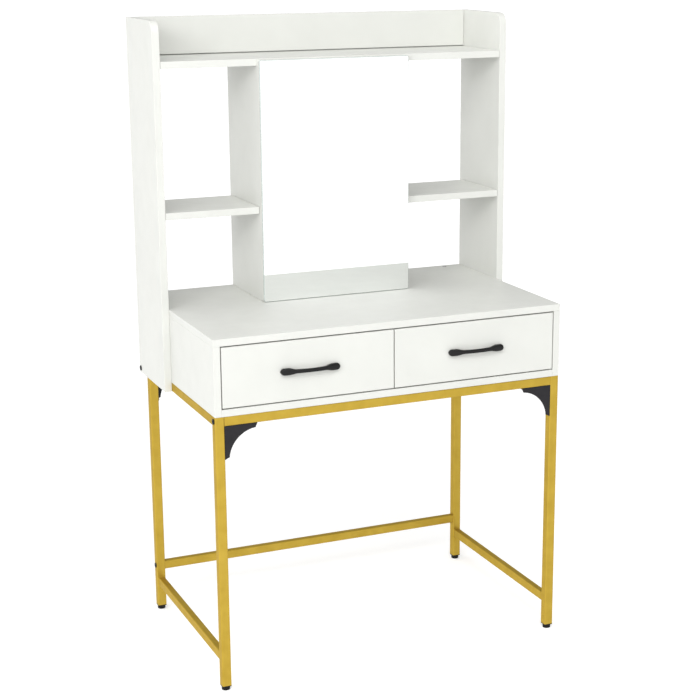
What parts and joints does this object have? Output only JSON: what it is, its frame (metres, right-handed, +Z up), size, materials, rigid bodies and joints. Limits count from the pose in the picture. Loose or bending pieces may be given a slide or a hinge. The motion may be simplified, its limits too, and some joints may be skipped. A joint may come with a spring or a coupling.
{
  "type": "vanity table",
  "caption": "White vanity table with drawers on a gold square-tube frame, and an open hutch that holds an upright mirror between shelved bays.",
  "frame": {"origin": "on the floor, at the middle of the whole table's outline", "axes": "+Z up, +X to the right of a person sitting at the table, -Y towards that person"},
  "size_m": [0.836, 0.513, 1.382],
  "materials": {
    "white_board": "white melamine-faced particleboard with matching edge banding, satin",
    "hardboard": "white-lacquered hardboard, matt",
    "gold_frame": "metallic gold powder coat on steel tube, satin",
    "black_steel": "black powder coat on pressed steel",
    "black_bolts": "black zinc on steel",
    "black_plastic": "black moulded plastic",
    "black_handles": "matt black on die-cast zinc",
    "zinc_screws": "zinc-plated steel",
    "slide_steel": "zinc-plated rolled steel",
    "mirror_glass": "silvered float glass with a fine polished edge"
  },
  "bodies": {
    "table": {"bracket_front_left": "black_steel", "bracket_front_right": "black_steel", "bracket_rear_left": "black_steel", "bracket_rear_right": "black_steel", "bracket_screws": "black_bolts", "carcass_back": "hardboard", "carcass_bottom": "white_board", "carcass_divider": "white_board", "carcass_side_left": "white_board", "carcass_side_right": "white_board", "desktop": "white_board", "desktop_screw_caps": "black_plastic", "foot_front_left": "black_plastic", "foot_front_right": "black_plastic", "foot_rear_left": "black_plastic", "foot_rear_right": "black_plastic", "frame_bolts": "black_bolts", "hutch_back_rail": "white_board", "hutch_bolts": "black_bolts", "hutch_side_left": "white_board", "hutch_side_right": "white_board", "hutch_top_shelf": "white_board", "leg_front_left": "gold_frame", "leg_front_right": "gold_frame", "leg_rear_left": "gold_frame", "leg_rear_right": "gold_frame", "mirror_backing_board": "white_board", "mirror_glass": "mirror_glass", "partition_left": "white_board", "partition_right": "white_board", "rail_front": "gold_frame", "rail_left": "gold_frame", "rail_rear": "gold_frame", "rail_right": "gold_frame", "shelf_left": "white_board", "shelf_right": "white_board", "slide_left_fixed": "slide_steel", "slide_right_fixed": "slide_steel", "stretcher_left": "gold_frame", "stretcher_rear": "gold_frame", "stretcher_right": "gold_frame"},
    "drawer_left": {"drawer_left_back": "white_board", "drawer_left_bottom": "hardboard", "drawer_left_front": "white_board", "drawer_left_handle": "black_handles", "drawer_left_handle_screws": "zinc_screws", "drawer_left_side_l": "white_board", "drawer_left_side_r": "white_board", "slide_left_inner": "slide_steel"},
    "drawer_right": {"drawer_right_back": "white_board", "drawer_right_bottom": "hardboard", "drawer_right_front": "white_board", "drawer_right_handle": "black_handles", "drawer_right_handle_screws": "zinc_screws", "drawer_right_side_l": "white_board", "drawer_right_side_r": "white_board", "slide_right_inner": "slide_steel"},
    "slides_left": {"slide_left_middle": "slide_steel"},
    "slides_right": {"slide_right_middle": "slide_steel"}
  },
  "joints": [
    {"name": "drawer_left_slide", "type": "slide", "parent": "table", "child": "drawer_left", "axis": [0, -1, 0], "range_m": [0, 0.38]},
    {"name": "slides_left_travel", "type": "slide", "parent": "table", "child": "slides_left", "axis": [0, -1, 0], "range_m": [0, 0.19]},
    {"name": "drawer_right_slide", "type": "slide", "parent": "table", "child": "drawer_right", "axis": [0, -1, 0], "range_m": [0, 0.38]},
    {"name": "slides_right_travel", "type": "slide", "parent": "table", "child": "slides_right", "axis": [0, -1, 0], "range_m": [0, 0.19]}
  ],
  "couplings": [
    {"joint": "slides_left_travel", "follows": "drawer_left_slide", "ratio": 0.5},
    {"joint": "slides_right_travel", "follows": "drawer_right_slide", "ratio": 0.5}
  ]
}
